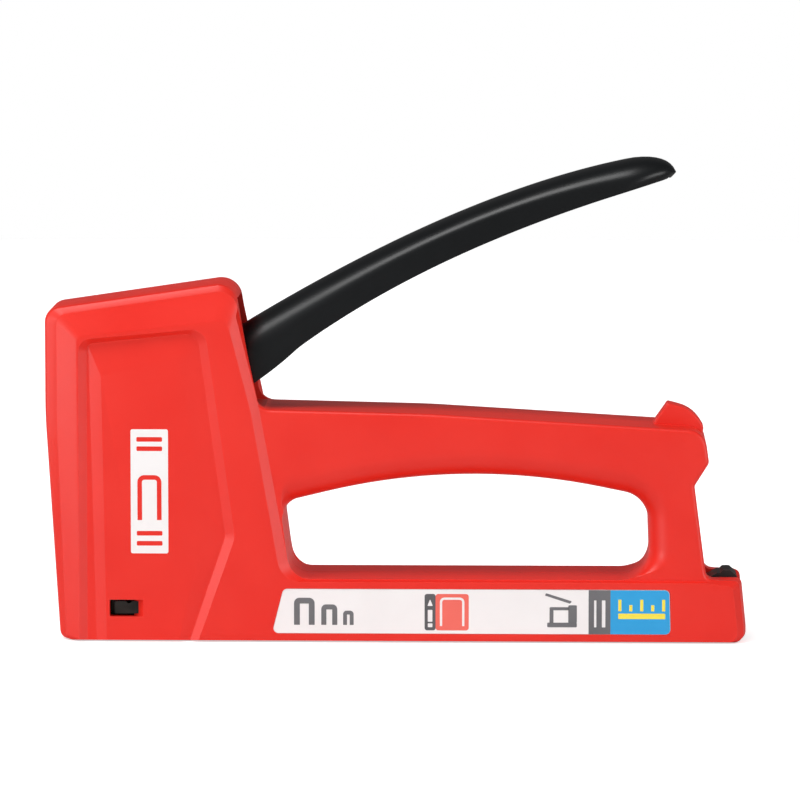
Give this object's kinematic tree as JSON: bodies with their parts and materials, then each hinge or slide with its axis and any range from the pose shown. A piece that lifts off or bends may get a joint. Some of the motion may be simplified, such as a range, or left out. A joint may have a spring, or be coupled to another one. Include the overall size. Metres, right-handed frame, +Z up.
{
  "type": "staple gun",
  "caption": "Hand-operated staple gun: moulded two-part body with a hand hole, squeeze lever, sprung plunger and drive blade, and a rear-loading magazine.",
  "frame": {"origin": "middle of the base plane that the tool stands on", "axes": "+X from the nose to the tail, +Z up from the base to the lever, +Y across to the right half of the body"},
  "size_m": [0.18, 0.03, 0.124],
  "materials": {
    "red_body": "satin moulded red plastic",
    "lever_black": "gloss black coating",
    "steel": "zinc-plated steel",
    "dark_steel": "blackened pressed steel",
    "spring_steel": "spring wire",
    "black_plastic": "matt moulded black plastic",
    "rubber": "matt rubber",
    "label": "printed film label"
  },
  "bodies": {
    "body": {"casing_left": "red_body", "casing_right": "red_body", "case_screw_1": "steel", "case_screw_2": "steel", "case_screw_3": "steel", "case_screw_4": "steel", "case_screw_5": "steel", "lever_pivot_pin": "steel", "lever_spacer": "steel", "main_spring": "spring_steel", "spring_seat": "black_plastic", "shock_absorber": "rubber", "nose_plate": "steel", "magazine_channel": "dark_steel", "label_left": "label", "label_right": "label"},
    "lever": {"squeeze_lever": "lever_black"},
    "driver": {"plunger": "dark_steel", "driver_blade": "steel", "driver_rivet": "steel"},
    "rail": {"magazine_rail": "steel", "guide_rod": "steel", "follower_spring": "spring_steel", "pusher_grip": "black_plastic", "catch_pin": "steel", "catch_spring": "spring_steel"},
    "follower": {"follower": "dark_steel"},
    "catch": {"rear_catch": "black_plastic"}
  },
  "joints": [
    {"name": "lever_squeeze", "type": "hinge", "parent": "body", "child": "lever", "pos_m": [-0.047, 0, 0.071], "axis": [0, 1, 0], "range_deg": [0, 29], "stiffness_Nm_per_rad": 1, "springref_deg": -20.05},
    {"name": "driver_lift", "type": "slide", "parent": "body", "child": "driver", "axis": [0, 0, 1], "range_m": [0, 0.0141], "deforming": ["main_spring"]},
    {"name": "rail_slide", "type": "slide", "parent": "body", "child": "rail", "axis": [1, 0, 0], "range_m": [0, 0.09]},
    {"name": "follower_feed", "type": "slide", "parent": "rail", "child": "follower", "axis": [1, 0, 0], "range_m": [0, 0.085], "stiffness_N_per_m": 40, "springref_m": -0.06, "deforming": ["follower_spring"]},
    {"name": "catch_press", "type": "hinge", "parent": "rail", "child": "catch", "pos_m": [0.0695, 0, 0.0095], "axis": [0, 1, 0], "range_deg": [0, 12], "stiffness_Nm_per_rad": 0.05, "springref_deg": -17.19, "deforming": ["catch_spring"]}
  ],
  "couplings": [
    {"joint": "driver_lift", "follows": "lever_squeeze", "m_per_rad": 0.0277}
  ]
}
